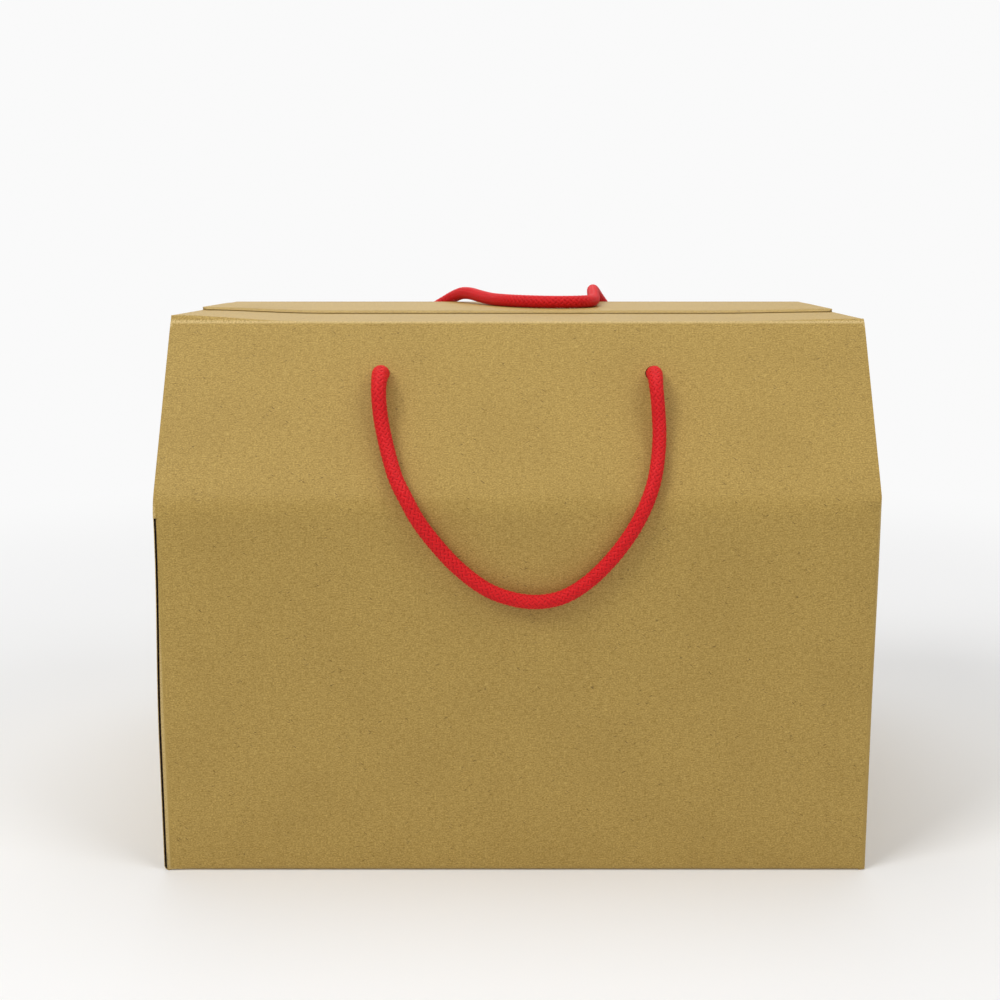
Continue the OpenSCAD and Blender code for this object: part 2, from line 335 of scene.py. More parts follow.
@dataclass(frozen=True)
class KraftFinish:
    """Brown kraft liner: mottled, with fibres, specks, faint flutes, and folds paler from wear and a painted
    highlight.
    """

    base: Colour = (0.434, 0.276, 0.056)
    dark: Colour = (0.240, 0.142, 0.026)
    pale: Colour = (0.640, 0.450, 0.135)
    fibre: Colour = (0.090, 0.048, 0.016)
    # Paler colour along the folds: partly wear of the scored liner, partly a painted highlight of the lit
    # crease.
    fold: Colour = (0.720, 0.540, 0.240)
    roughness: float = 0.56
    flute_pitch: float = 3.3 * MM
    fold_width: float = 1.5 * MM
    fold_core: float = 0.4 * MM
    bump_height: float = 0.1 * MM
    cloud_scale: float = 28
    mottle_scale: float = 340
    grain_scale: float = 1500
    grain_stretch: Point = (0.85, 1.15, 1.0)
    strand_turn: float = 7
    strand_scale: Point = (400, 1500, 1)
    fibre_scale: Point = (330, 1700, 1)
    fibre_places: float = 70
    speck_scale: float = 150
    fleck_scale: float = 230

    def fold_distance(self, shader: Shader, sizes: "BoxSizes") -> Field:
        """Distance from the nearest scored fold, in metres.

        Args:
            shader: The material.
            sizes: Where the folds are.

        Returns:
            The distance.
        """
        x, y, z = shader.coordinates()
        across, deep = abs(x) - sizes.half_width, abs(y) - sizes.half_depth
        upright = across.hypot(deep)
        top = (abs(y) - sizes.half_top).hypot(z - sizes.wall_top)
        side_top = across.hypot(z - sizes.side_top)
        foot = deep.hypot(z).least(across.hypot(z))
        return upright.least(top).least(side_top).least(foot)

    def material(self, name: str, sizes: "BoxSizes") -> bpy.types.Material:
        """Makes the material.

        Args:
            name: Its name.
            sizes: Where the folds are.

        Returns:
            The material.
        """
        s = Shader(name)
        panel = s.uv("panel")
        clouds = s.noise(panel, self.cloud_scale, 2)
        mottle = s.noise(panel, self.mottle_scale, 3, 0.6)
        grain = s.noise(s.stretched(panel, 0, self.grain_stretch), self.grain_scale, 3, 0.72)
        strands = s.noise(s.stretched(panel, self.strand_turn, self.strand_scale), 1.0, 1, 0.4)
        falling = s.noise(s.stretched(panel, -38, self.fibre_scale), 1.0, 0, 0.4).step(0.772, 0.796)
        rising = s.noise(s.stretched(panel, 24, self.fibre_scale), 1.0, 0, 0.4).step(0.778, 0.800)
        dark_fibre = (falling + rising) * s.noise(panel, self.fibre_places, 0).step(0.47, 0.56)
        speck = s.specks(panel, self.speck_scale, 0.10, 0.10)
        fleck = s.specks(panel, self.fleck_scale, 0.15, 0.12)
        along = Field(s, s.node("ShaderNodeSeparateXYZ", {}, {0: panel}).outputs[0])
        flute = (along * (2 * math.pi / self.flute_pitch)).sine()

        tone = s.mix(grain.step(0.30, 0.72), self.dark, self.pale)
        colour = s.mix(0.28, tone, self.base)
        colour = s.mix(mottle.step(0.35, 0.7) * 0.14, colour, self.pale)
        colour = s.mix(clouds.step(0.62, 0.30) * 0.10, colour, self.dark)
        colour = s.mix(strands.step(0.56, 0.70) * 0.34, colour, self.dark)
        colour = s.mix(strands.step(0.40, 0.27) * 0.26, colour, self.pale)
        colour = s.mix(fleck * 0.5, colour, self.pale)
        colour = s.mix(speck * 0.5 + dark_fibre * 0.62, colour, self.fibre)
        # Paler along every fold: partly wear of the scored liner, partly a painted highlight of the lit
        # crease line.
        fold_grain = grain.step(0.36, 0.62) * 0.75 + 0.1
        fold_wear_and_painted_highlight = self.fold_distance(s, sizes).step(self.fold_width, self.fold_core) * fold_grain
        colour = s.mix(fold_wear_and_painted_highlight, colour, self.fold)

        height = grain * 0.6 + strands * 0.3 + mottle * 0.2 + flute * 0.12
        return s.finish(
            Base_Color=colour,
            Roughness=grain * 0.16 + (self.roughness - 0.08),
            Specular_IOR_Level=0.28,
            Normal=s.bump(height, self.bump_height, 0.8),
        )


@dataclass(frozen=True)
class FluteEdgeWithPaintedShade:
    """The fluted sheet seen at a raw edge, with painted shade: deep in a groove, where the whole edge is
    painted near-black shade, or crushed flat by the knife, with painted shade between the waves.
    """

    # Default colours, for the groove: painted shade. The fluting and its hollows are painted near-black in
    # place of the shadow deep in the open groove.
    sheet: Colour = (0.090, 0.050, 0.030)
    light: Colour = (0.050, 0.024, 0.016)
    dark: Colour = (0.014, 0.005, 0.006)
    pitch: float = 3.3 * MM
    roughness: float = 0.9

    @classmethod
    def crushed(cls) -> "FluteEdgeWithPaintedShade":
        """The finish of an edge that the knife has pressed flat."""
        # Kraft colours for the sheet; the darker light and dark colours between the waves are painted shade
        # of the hollow flutes.
        return cls(sheet=(0.56, 0.40, 0.17), light=(0.40, 0.27, 0.10), dark=(0.27, 0.17, 0.06))

    def material(self, name: str) -> bpy.types.Material:
        """Makes the material of that name."""
        s = Shader(name)
        x, y, z = s.coordinates()
        place = s.node("ShaderNodeCombineXYZ", {}, {0: x, 1: y, 2: z}).outputs[0]
        fuzz = s.noise(place, 1400, 2)
        split = s.node("ShaderNodeSeparateXYZ", {}, {0: s.uv("flutes")})
        along, depth = Field(s, split.outputs[0]), Field(s, split.outputs[1])
        wave = (along * (2 * math.pi / self.pitch)).sine() * 0.62
        sheet = abs(depth - wave).step(0.42, 0.20)
        # Between the waves: the painted shade colours, varied by fuzz; on the waves: the sheet colour.
        colour = s.mix(fuzz.step(0.35, 0.68), self.dark, self.light)
        colour = s.mix(sheet * 0.85, colour, self.sheet)
        return s.finish(
            Base_Color=colour,
            Roughness=self.roughness,
            Normal=s.bump(fuzz + sheet, 0.0001),
        )


@dataclass(frozen=True)
class RopeFinish:
    """Bright red braided polyester: fine filaments with a soft sheen, and painted shade in the valleys
    between strands and on the core.
    """

    body: Colour = (0.720, 0.008, 0.011)
    # deep: a darker red for random tint, and the painted shade of the rope's valleys.
    deep: Colour = (0.400, 0.003, 0.009)
    bright: Colour = (0.860, 0.028, 0.034)
    roughness: float = 0.50

    def material(self, name: str) -> bpy.types.Material:
        """Makes the material of that name."""
        s = Shader(name)
        across, run, strand = s.attribute("across"), s.attribute("run"), s.attribute("strand")
        place = s.node("ShaderNodeCombineXYZ", {}, {0: run * 0.22, 1: across * 0.0011, 2: strand}).outputs[0]
        filament = s.noise(place, 6500, 2, 0.6)
        tint = s.noise(place, 900, 1)
        groove = abs(across)
        colour = s.mix(filament.step(0.30, 0.70) * 0.5, self.body, self.bright)
        colour = s.mix(tint.step(0.55, 0.30) * 0.35, colour, self.deep)
        # Painted shade: the deep colour on each strand's edges, along its middle and on the core, where shade
        # falls between strands.
        colour = s.mix(groove.step(0.55, 1.0) * 0.75 + groove.step(0.16, 0.0) * 0.35, colour, self.deep)
        height = filament * 0.4 + groove.step(0.0, 0.25) * 0.6
        return s.finish(
            Base_Color=colour,
            Roughness=filament * 0.2 + (self.roughness - 0.1),
            Specular_IOR_Level=0.16,
            Sheen_Weight=0.06,
            Sheen_Roughness=0.4,
            Sheen_Tint=(1.0, 0.30, 0.32, 1.0),
            Normal=s.bump(height, 0.00008, 0.8),
        )


# Sizes


@dataclass(frozen=True)
class BoxSizes:
    """The folded box's main sizes, read from the CAD nodes where they show there."""

    half_width: float
    half_depth: float
    half_top: float
    lid_top: float
    wall_top: float
    side_top: float
    shoulder: float = 165 * MM
    board: float = 1.4 * MM
    layer: float = 1.5 * MM

    @classmethod
    def from_frame(cls) -> "BoxSizes":
        """Reads the sizes from the box body and the lid flap."""
        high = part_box("box_body")[1]
        lid_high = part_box("lid_flap")[1]
        top = high.z
        return cls(high.x, high.y, lid_high.y, lid_high.z, top, top - cls.layer)

    @property
    def lean(self) -> float:
        """Angle of the slopes from the upright, in radians."""
        return math.atan2(self.half_depth - self.half_top, self.wall_top - self.shoulder)


# Ropes

FRONT_ROUTE: Sequence[Point] = (
    (-0.060, -0.0866, 0.2156), (-0.060, -0.0909, 0.2172), (-0.060, -0.0945, 0.2177),
    (-0.060, -0.0981, 0.2171), (-0.060, -0.1013, 0.2156), (-0.060, -0.1041, 0.2133),
    (-0.0599, -0.1062, 0.2103), (-0.0596, -0.1077, 0.2063), (-0.0588, -0.1093, 0.1997),
    (-0.0573, -0.1121, 0.1928), (-0.0549, -0.1168, 0.1845), (-0.0517, -0.1226, 0.1758),
    (-0.0474, -0.1273, 0.1682), (-0.0423, -0.129, 0.159), (-0.035, -0.129, 0.149),
    (-0.0255, -0.129, 0.1385), (-0.014, -0.129, 0.1295), (-0.003, -0.129, 0.125),
    (0.008, -0.129, 0.1235), (0.019, -0.129, 0.1255), (0.0295, -0.129, 0.1318),
    (0.0398, -0.129, 0.142), (0.0485, -0.129, 0.154), (0.0545, -0.1277, 0.1656),
    (0.0582, -0.123, 0.1754), (0.0601, -0.1171, 0.1841), (0.061, -0.1121, 0.1928),
    (0.0609, -0.1093, 0.1997), (0.0605, -0.1077, 0.2063), (0.0602, -0.1062, 0.2103),
    (0.060, -0.1041, 0.2133), (0.060, -0.1013, 0.2156), (0.060, -0.0981, 0.2171),
    (0.060, -0.0945, 0.2177), (0.060, -0.0909, 0.2172), (0.060, -0.0866, 0.2156),
)
REAR_ROUTE: Sequence[Point] = (
    (-0.0606, 0.0875, 0.2141), (-0.060, 0.0909, 0.2172), (-0.0591, 0.093, 0.220),
    (-0.0578, 0.0942, 0.2231), (-0.056, 0.0946, 0.2263), (-0.054, 0.0939, 0.2292),
    (-0.0504, 0.092, 0.2333), (-0.0452, 0.0891, 0.2374), (-0.0396, 0.085, 0.2409),
    (-0.0345, 0.0798, 0.2439), (-0.030, 0.0725, 0.2458), (-0.0252, 0.063, 0.246),
    (-0.020, 0.052, 0.2451), (-0.014, 0.0385, 0.2443), (-0.007, 0.0255, 0.2442),
    (0.0025, 0.0142, 0.2442), (0.0135, 0.0072, 0.2442), (0.0243, 0.0059, 0.2442),
    (0.0328, 0.0104, 0.2442), (0.0378, 0.0198, 0.2442), (0.0395, 0.0315, 0.2445),
    (0.040, 0.045, 0.2455), (0.0402, 0.0585, 0.247), (0.0409, 0.0703, 0.2476),
    (0.0424, 0.0794, 0.2461), (0.0449, 0.0859, 0.2426), (0.0482, 0.090, 0.2383),
    (0.0516, 0.0926, 0.2339), (0.0548, 0.0937, 0.2296), (0.0565, 0.0944, 0.2266),
    (0.058, 0.0941, 0.2233), (0.0592, 0.0929, 0.2201), (0.060, 0.0909, 0.2172),
    (0.0605, 0.0875, 0.2141),
)


class Line:
    """A smooth line through points, with a frame that is carried along it without twist."""

    def __init__(self, points: Sequence[Sequence[float]], pitch: float = 0.5 * MM) -> None:
        """Runs a smooth curve through the points and cuts it into equal steps.

        Args:
            points: The points that it passes through, in metres.
            pitch: Length of a step.
        """
        dense = self.smoothed([Vector(p) for p in points])
        lengths = [0.0]
        for a, b in zip(dense, dense[1:]):
            lengths.append(lengths[-1] + (b - a).length)
        self.length = lengths[-1]
        self.count = max(2, round(self.length / pitch))
        self.points: list[Vector] = []
        here = 0
        for i in range(self.count + 1):
            want = self.length * i / self.count
            while here < len(dense) - 2 and lengths[here + 1] < want:
                here += 1
            share = (want - lengths[here]) / max(lengths[here + 1] - lengths[here], 1e-12)
            self.points.append(dense[here].lerp(dense[here + 1], share))
        self.sides = self.carried()

    @staticmethod
    def smoothed(points: list[Vector], steps: int = 14) -> list[Vector]:
        """Catmull-Rom curve through the points.

        Args:
            points: The points.
            steps: How many pieces each stretch is cut into.

        Returns:
            Close points of the curve.
        """
        ends = [points[0] * 2 - points[1], *points, points[-1] * 2 - points[-2]]
        dense: list[Vector] = []
        for a, b, c, d in zip(ends, ends[1:], ends[2:], ends[3:]):
            for k in range(steps):
                t = k / steps
                square = (a * 2 - b * 5 + c * 4 - d) * t * t
                cube = (b * 3 - a - c * 3 + d) * t * t * t
                dense.append((b * 2 + (c - a) * t + square + cube) * 0.5)
        return dense + [points[-1]]

    def direction(self, i: int) -> Vector:
        """Direction of the line at its point i."""
        return (self.points[min(i + 1, self.count)] - self.points[max(i - 1, 0)]).normalized()

    def carried(self) -> list[Vector]:
        """Side directions, one for each point, carried along without twist."""
        side = self.direction(0).orthogonal().normalized()
        sides = []
        for i in range(self.count + 1):
            ahead = self.direction(i)
            side = (side - ahead * side.dot(ahead)).normalized()
            sides.append(side)
        return sides

    def place(self, local: Vector) -> Vector:
        """Moves a point of a straight rope on +Z onto the line.

        Args:
            local: X and Y across the rope and Z along it.

        Returns:
            Its place on the bent rope.
        """
        at = min(max(local.z / self.length, 0.0), 1.0) * self.count
        i = min(int(at), self.count - 1)
        share = at - i
        ahead = self.direction(i).lerp(self.direction(i + 1), share).normalized()
        side = self.sides[i].lerp(self.sides[i + 1], share).normalized()
        centre = self.points[i].lerp(self.points[i + 1], share)
        return centre + side * local.x + ahead.cross(side) * local.y


@dataclass
class Braid:
    """A round braid of flat strands, half of them winding each way, over a core."""

    strands_each_way: int = 8
    turn_length: float = 21 * MM
    strand_radius: float = 2.66 * MM
    strand_half_width: float = 0.92 * MM
    strand_half_depth: float = 0.40 * MM
    crossing_lift: float = 0.16 * MM
    core_radius: float = 2.45 * MM
    sides: int = 6
    steps_per_crossing: int = 3
    slack: float = 0.04
    swelling: float = 0.15
    swollen: tuple[float, float] = (7 * MM, 24 * MM)

    def strands(self, lay: Lay, length: float) -> bmesh.types.BMesh:
        """All the strands that wind one way, on a straight rope along +Z.

        Args:
            lay: The way that they wind.
            length: The rope's length.

        Returns:
            Their mesh.
        """
        bm = bmesh.new()
        across = bm.verts.layers.float.new("across")
        run = bm.verts.layers.float.new("run")
        strand = bm.verts.layers.float.new("strand")
        bmesh.ops.create_circle(bm, segments=self.sides, radius=1.0)
        for vert in bm.verts:
            vert[across] = vert.co.x
        tilt = math.atan2(2 * math.pi * self.strand_radius, self.turn_length) * lay.value
        shape = (
            Matrix.Translation((self.strand_radius, 0, 0))
            @ Matrix.Rotation(-tilt, 4, "X")
            @ Matrix.Rotation(math.radians(90), 4, "Z")
            @ Matrix.Diagonal((self.strand_half_width, self.strand_half_depth, 1.0, 1.0))
        )
        bmesh.ops.transform(bm, matrix=shape, verts=bm.verts)
        steps = round(length / self.turn_length * self.strands_each_way * 2 * self.steps_per_crossing)
        bmesh.ops.spin(
            bm, geom=bm.verts[:] + bm.edges[:], cent=(0, 0, 0), axis=(0, 0, 1), dvec=(0, 0, length / steps),
            angle=lay.value * 2 * math.pi * length / self.turn_length, steps=steps,
            use_merge=False, use_duplicate=False,
        )
        rate = 2 * math.pi * self.strands_each_way / self.turn_length
        for vert in bm.verts:
            radius = vert.co.xy.length
            lifted = radius + lay.value * self.crossing_lift * math.cos(rate * vert.co.z)
            vert.co.x *= lifted / radius
            vert.co.y *= lifted / radius
            vert[run] = vert.co.z
            vert[strand] = lay.value * 0.5
        first = bm.verts[:] + bm.edges[:] + bm.faces[:]
        for k in range(1, self.strands_each_way):
            copy = bmesh.ops.duplicate(bm, geom=first)["geom"]
            verts = [g for g in copy if isinstance(g, bmesh.types.BMVert)]
            turn = Matrix.Rotation(2 * math.pi * k / self.strands_each_way, 3, "Z")
            bmesh.ops.rotate(bm, cent=(0, 0, 0), matrix=turn, verts=verts)
            for vert in verts:
                vert[strand] += k
        bmesh.ops.recalc_face_normals(bm, faces=bm.faces)
        return bm

    def core(self, length: float) -> bmesh.types.BMesh:
        """The core under the strands, which closes the gaps between them.

        Args:
            length: The rope's length.

        Returns:
            Its mesh.
        """
        bm = bmesh.new()
        across = bm.verts.layers.float.new("across")
        bmesh.ops.create_circle(bm, segments=12, radius=self.core_radius)
        steps = max(2, round(length / (1.5 * MM)))
        bmesh.ops.spin(
            bm, geom=bm.verts[:] + bm.edges[:], cent=(0, 0, 0), axis=(0, 0, 1), dvec=(0, 0, length / steps),
            angle=0.0, steps=steps, use_merge=False, use_duplicate=False,
        )
        bmesh.ops.holes_fill(bm, edges=[e for e in bm.edges if e.is_boundary])
        # An across of 1 gives the core the rope material's strongest painted shade.
        for vert in bm.verts:
            vert[across] = 1.0
        bmesh.ops.recalc_face_normals(bm, faces=bm.faces)
        return bm

    def girth(self, at: float, length: float) -> float:
        """Thickness at a place, as a share of the plain rope's: fuller in the holes, where it bends.

        Args:
            at: Distance along the rope.
            length: The rope's length.

        Returns:
            The share.
        """
        near, far = self.swollen
        eased = 1.0 - smooth((min(at, length - at) - near) / (far - near))
        return (1.0 + self.slack * math.cos(math.pi * at / length)) * (1.0 + self.swelling * eased)

    def bent(self, lines: Iterable[Line]) -> bpy.types.Mesh:
        """The braid laid along one or more lines.

        Args:
            lines: The lines.

        Returns:
            One mesh of all of it.
        """
        whole = bmesh.new()
        for line in lines:
            wound = [self.strands(lay, line.length) for lay in (Lay.RIGHT, Lay.LEFT)]
            for part in (*wound, self.core(line.length)):
                for vert in part.verts:
                    girth = self.girth(vert.co.z, line.length)
                    vert.co = line.place(Vector((vert.co.x * girth, vert.co.y * girth, vert.co.z)))
                append(whole, part)
        mesh = bpy.data.meshes.new("braid")
        whole.to_mesh(mesh)
        whole.free()
        mesh.shade_smooth()
        return mesh


def smooth(share: float) -> float:
    """Smooth step of a share held between 0 and 1."""
    held = min(max(share, 0.0), 1.0)
    return held * held * (3 - 2 * held)


def append(whole: bmesh.types.BMesh, part: bmesh.types.BMesh) -> None:
    """Adds a mesh to another and frees it.

    Args:
        whole: The mesh that grows.
        part: The mesh that goes into it.
    """
    carrier = bpy.data.meshes.new("carrier")
    part.to_mesh(carrier)
    part.free()
    whole.from_mesh(carrier)
    bpy.data.meshes.remove(carrier)


def stand(
    name: str, mesh: bpy.types.Mesh, body: Body | None, materials: Sequence[bpy.types.Material]
) -> bpy.types.Object:
    """Puts a finished mesh into the scene as a piece.

    Args:
        name: The piece's name.
        mesh: Its mesh, in the frame's coordinates.
        body: What it rides on, or None for a piece that bends between two bodies.
        materials: Its materials.

    Returns:
        The piece.
    """
    mesh.name = name
    piece = bpy.data.objects.new(name, mesh)
    bpy.context.scene.collection.objects.link(piece)
    for material in materials:
        mesh.materials.append(material)
    if body is not None:
        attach(piece, body.value)
    LOG.info("%s: %d faces", name, len(mesh.polygons))
    return piece


def knot_braid() -> Braid:
    """The rope's braid with coarser strands, for the knots inside the box."""
    return Braid(sides=5, steps_per_crossing=2, slack=0.0, swelling=0.0)


@dataclass
class Knot:
    """A pulled-tight stopper knot inside the board: turns round the rope's end, and a loose tail."""

    turns: float = 1.8
    turn_radius: float = 4.9 * MM
    turn_pitch: float = 5.6 * MM
    depth: float = 11.5 * MM
    tail: float = 17 * MM
    tail_fall: float = 0.45
    first_turn: float = 3.1 * MM
    pull: float = 0.62
    steps_per_turn: int = 10
    braid: Braid = field(default_factory=knot_braid)

    def lines(self) -> list[Line]:
        """The rope's end and the turns with the tail, below a hole at the origin that faces +Z."""
        core = Line([(0, 0, 0.0), (0, 0, -self.depth * 0.5), (0, 0, -self.depth)])
        points = []
        steps = round(self.turns * self.steps_per_turn)
        for i in range(steps + 1):
            angle = 2 * math.pi * self.turns * i / steps
            z = -self.first_turn - self.turn_pitch * self.turns * i / steps * self.pull
            points.append((self.turn_radius * math.cos(angle), self.turn_radius * math.sin(angle), z))
        last, before = Vector(points[-1]), Vector(points[-2])
        ahead = (last - before).normalized()
        for share in (0.35, 0.7, 1.0):
            fall = Vector((0, 0, -self.tail_fall * self.tail * share * share))
            points.append(tuple(last + ahead * self.tail * share + fall))
        return [core, Line(points)]

    def place(self, piece_name: str, hole: Matrix, material: bpy.types.Material) -> bpy.types.Object:
        """Ties the knot under a hole in place of its CAD node.

        Args:
            piece_name: The CAD node's name.
            hole: The hole's frame, at the board's inner face and with +Z out of the box.
            material: The rope's material.

        Returns:
            The piece.
        """
        mesh = self.braid.bent(self.lines())
        mesh.transform(hole)
        piece = stand(f"{piece_name}_braid", mesh, Body.BOX, [material])
        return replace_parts(piece, piece_name)


@dataclass
class Handles:
    """The two rope handles and their four knots."""

    sizes: BoxSizes
    finish: RopeFinish = RopeFinish()
    rope_diameter: float = 6 * MM
    hole_span: float = 120 * MM
    hole_drop: float = 26 * MM
    turn_start: Point = (0, 0.094, 0.238)
    turn_end: Point = (0, 0.064, 0.242)
    braid: Braid = field(default_factory=Braid)
    knot: Knot = field(default_factory=Knot)

    def hole(self, side: int, front: bool) -> Matrix:
        """Frame of a hole at the board's inner face, with +Z out of the slope.

        Args:
            side: -1 for left and 1 for right.
            front: Whether the hole is in the front slope.

        Returns:
            The frame.
        """
        lean = self.sizes.lean
        up = Vector((0, math.sin(lean), math.cos(lean)))
        out = Vector((0, -math.cos(lean), math.sin(lean)))
        crease = Vector((0, -self.sizes.half_top, self.sizes.wall_top))
        place = crease - up * self.hole_drop - out * self.sizes.board
        place.x = side * self.hole_span / 2
        frame_axes = Matrix((Vector((1, 0, 0)), up, out)).transposed().to_4x4()
        seat = Matrix.Translation(place) @ frame_axes
        return seat if front else Matrix.Diagonal((1, -1, 1, 1)) @ seat

    def build(self) -> None:
        """Makes the knots and then the ropes that end in them."""
        material = self.finish.material("red_braid_valley_shade")
        for front, route, node in ((True, FRONT_ROUTE, "front_cord"), (False, REAR_ROUTE, "rear_cord")):
            row = "front" if front else "rear"
            knots = []
            for side, word in ((-1, "left"), (1, "right")):
                knots.append(self.knot.place(f"{row}_{word}_knot", self.hole(side, front), material))
                if not front:
                    knots[-1].data.flip_normals()
            line = Line(route)
            mesh = self.braid.bent([line])
            rope = stand(f"{row}_rope", mesh, Body.BOX if front else None, [material])
            if not front:
                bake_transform(rope, Body.BOX.value, Body.LID.value, start=self.turn_start, end=self.turn_end)
            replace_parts(rope, node)
            LOG.info("%s rope: %.1f mm", row, line.length / MM)


# Board


@dataclass
class Board:
    """Corrugated board made from a CAD node's shape, with open flutes at its raw edges."""

    sizes: BoxSizes
    liner: float = 0.24 * MM
    groove: float = 1.8 * MM
    crush: float = 0.12 * MM
    cell: float = 12 * MM
    smooth_angle: float = 24.0

    def copied(self, node: str) -> bmesh.types.BMesh:
        """A merged copy of a CAD node's mesh, with its flat faces made whole.

        Args:
            node: The CAD node.

        Returns:
            The copy.
        """
        bm = bmesh.new()
        bm.from_mesh(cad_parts[node].data)
        for layers in (bm.loops.layers.uv, bm.verts.layers.float):
            for layer in list(layers.values()):
                layers.remove(layer)
        bmesh.ops.remove_doubles(bm, verts=bm.verts, dist=0.002 * MM)
        bmesh.ops.dissolve_limit(bm, angle_limit=math.radians(0.6), verts=bm.verts, edges=bm.edges)
        return bm

    def raw_edges(self, bm: bmesh.types.BMesh) -> list[bmesh.types.BMFace]:
        """The narrow faces that the board was cut at.

        Args:
            bm: The board.

        Returns:
            Its cut faces.
        """
        found = []
        for face in bm.faces:
            longest = max(face.edges, key=lambda e: e.calc_length())
            length = longest.calc_length()
            if length < 2.2 * self.sizes.board or not longest.is_manifold:
                continue
            narrow = abs(face.calc_area() / length - self.sizes.board) < 0.22 * self.sizes.board
            if narrow and longest.calc_face_angle(0.0) > math.radians(50):
                found.append(face)
        return found

    def along_flutes(self, face: bmesh.types.BMFace) -> bool:
        """Whether a cut face runs beside the flutes, so that it shows one long groove.

        Args:
            face: The cut face.

        Returns:
            Whether it does.
        """
        longest = max(face.edges, key=lambda e: e.calc_length())
        run = (longest.verts[1].co - longest.verts[0].co).normalized()
        return abs(run.x) < 0.5 and abs(face.calc_center_median().z - self.sizes.wall_top) > 5 * MM

    def open_flutes(self, bm: bmesh.types.BMesh) -> None:
        """Opens a groove between the liners along each raw edge, and marks where its flutes lie.

        Args:
            bm: The board.
        """
        layer = bm.loops.layers.uv.new("flutes")
        raw = self.raw_edges(bm)
        for face in raw:
            longest = max(face.edges, key=lambda e: e.calc_length())
            run = (longest.verts[1].co - longest.verts[0].co).normalized()
            over = face.normal.cross(run)
            centre = (longest.verts[0].co + longest.verts[1].co) / 2
            side = 1.0 if over.dot(face.calc_center_median() - centre) > 0 else -1.0
            for loop in face.loops:
                depth = side * over.dot(loop.vert.co - centre) / self.sizes.board
                loop[layer].uv = (loop.vert.co.dot(run), 2.0 * depth - 1.0)
        grooves = [face for face in raw if self.along_flutes(face)]
        waves = [face for face in raw if face not in set(grooves)]
        for faces, depth in ((grooves, self.groove), (waves, self.crush)):
            if not faces:
                continue
            bmesh.ops.inset_region(
                bm, faces=faces, thickness=self.liner, depth=0.0, use_even_offset=True, use_boundary=True,
                use_interpolate=True,
            )
            made = bmesh.ops.inset_region(
                bm, faces=faces, thickness=0.03 * MM, depth=-depth, use_even_offset=True, use_boundary=True,
                use_interpolate=True,
            )
            # Grooves take material 1, the painted near-black shade; crushed edges take material 2, kraft with
            # painted shade between the waves.
            for face in [*faces, *made["faces"]]:
                face.material_index = 1 if faces is grooves else 2
        LOG.info("%d raw edges opened, %d of them beside the flutes", len(raw), len(grooves))

    def cut(self, bm: bmesh.types.BMesh, axis: int, place: float) -> None:
        """Cuts every face that a plane crosses.

        Args:
            bm: The board.
            axis: The plane's axis, from 0 for X.
            place: Where it crosses that axis.
        """
        normal = Vector([float(k == axis) for k in range(3)])
        geom = bm.verts[:] + bm.edges[:] + bm.faces[:]
        bmesh.ops.bisect_plane(bm, geom=geom, dist=0.0005 * MM, plane_co=normal * place, plane_no=normal)

    def cut_cells(self, bm: bmesh.types.BMesh) -> None:
        """Cuts the large panels into cells, so that they can be shaped.

        Args:
            bm: The board.
        """
        for axis in range(3):
            low, high = min(v.co[axis] for v in bm.verts), max(v.co[axis] for v in bm.verts)
            cuts = int((high - low) / self.cell)
            for i in range(1, cuts):
                self.cut(bm, axis, low + (high - low) * i / cuts)

    def lay_panels(self, bm: bmesh.types.BMesh) -> None:
        """Writes the panel coordinates: across the flutes first and along them second, in metres.

        Args:
            bm: The board.
        """
        layer = bm.loops.layers.uv.new("panel")
        sizes = self.sizes
        for face in bm.faces:
            normal, centre = face.normal, face.calc_center_median()
            flat = abs(normal.z) > 0.9
            on_base = sizes.layer - 0.1 * MM < centre.z < 2 * sizes.layer
            under_top = 0.2 < centre.z < sizes.side_top + 0.05 * MM
            side_flap = flat and (on_base or under_top)
            for loop in face.loops:
                x, y, z = loop.vert.co
                if side_flap:
                    place = (y + 0.7, x)
                elif flat:
                    place = (x, y + 1.3)
                elif abs(normal.x) > 0.7:
                    place = (y + 0.7, z)
                else:
                    lean = max(abs(normal.y), 0.2)
                    place = (x + (0.9 if centre.y > 0 else 0.0), sizes.shoulder + (z - sizes.shoulder) / lean)
                loop[layer].uv = place

    def mesh(self, node: str, shape: Callable[[Vector], Vector], cuts: Iterable[float]) -> bpy.types.Mesh:
        """The finished board of a CAD node.

        Args:
            node: The CAD node.
            shape: Gives the small move of each point that makes it look handled.
            cuts: More places along Y that the panels are cut at.

        Returns:
            The mesh.
        """
        bm = self.copied(node)
        self.open_flutes(bm)
        self.cut_cells(bm)
        for y in cuts:
            self.cut(bm, 1, y)
        self.lay_panels(bm)
        for vert in bm.verts:
            vert.co += shape(vert.co)
        mesh = bpy.data.meshes.new(node)
        bm.to_mesh(mesh)
        bm.free()
        mesh.shade_smooth()
        mesh.set_sharp_from_angle(angle=math.radians(self.smooth_angle))
        return mesh


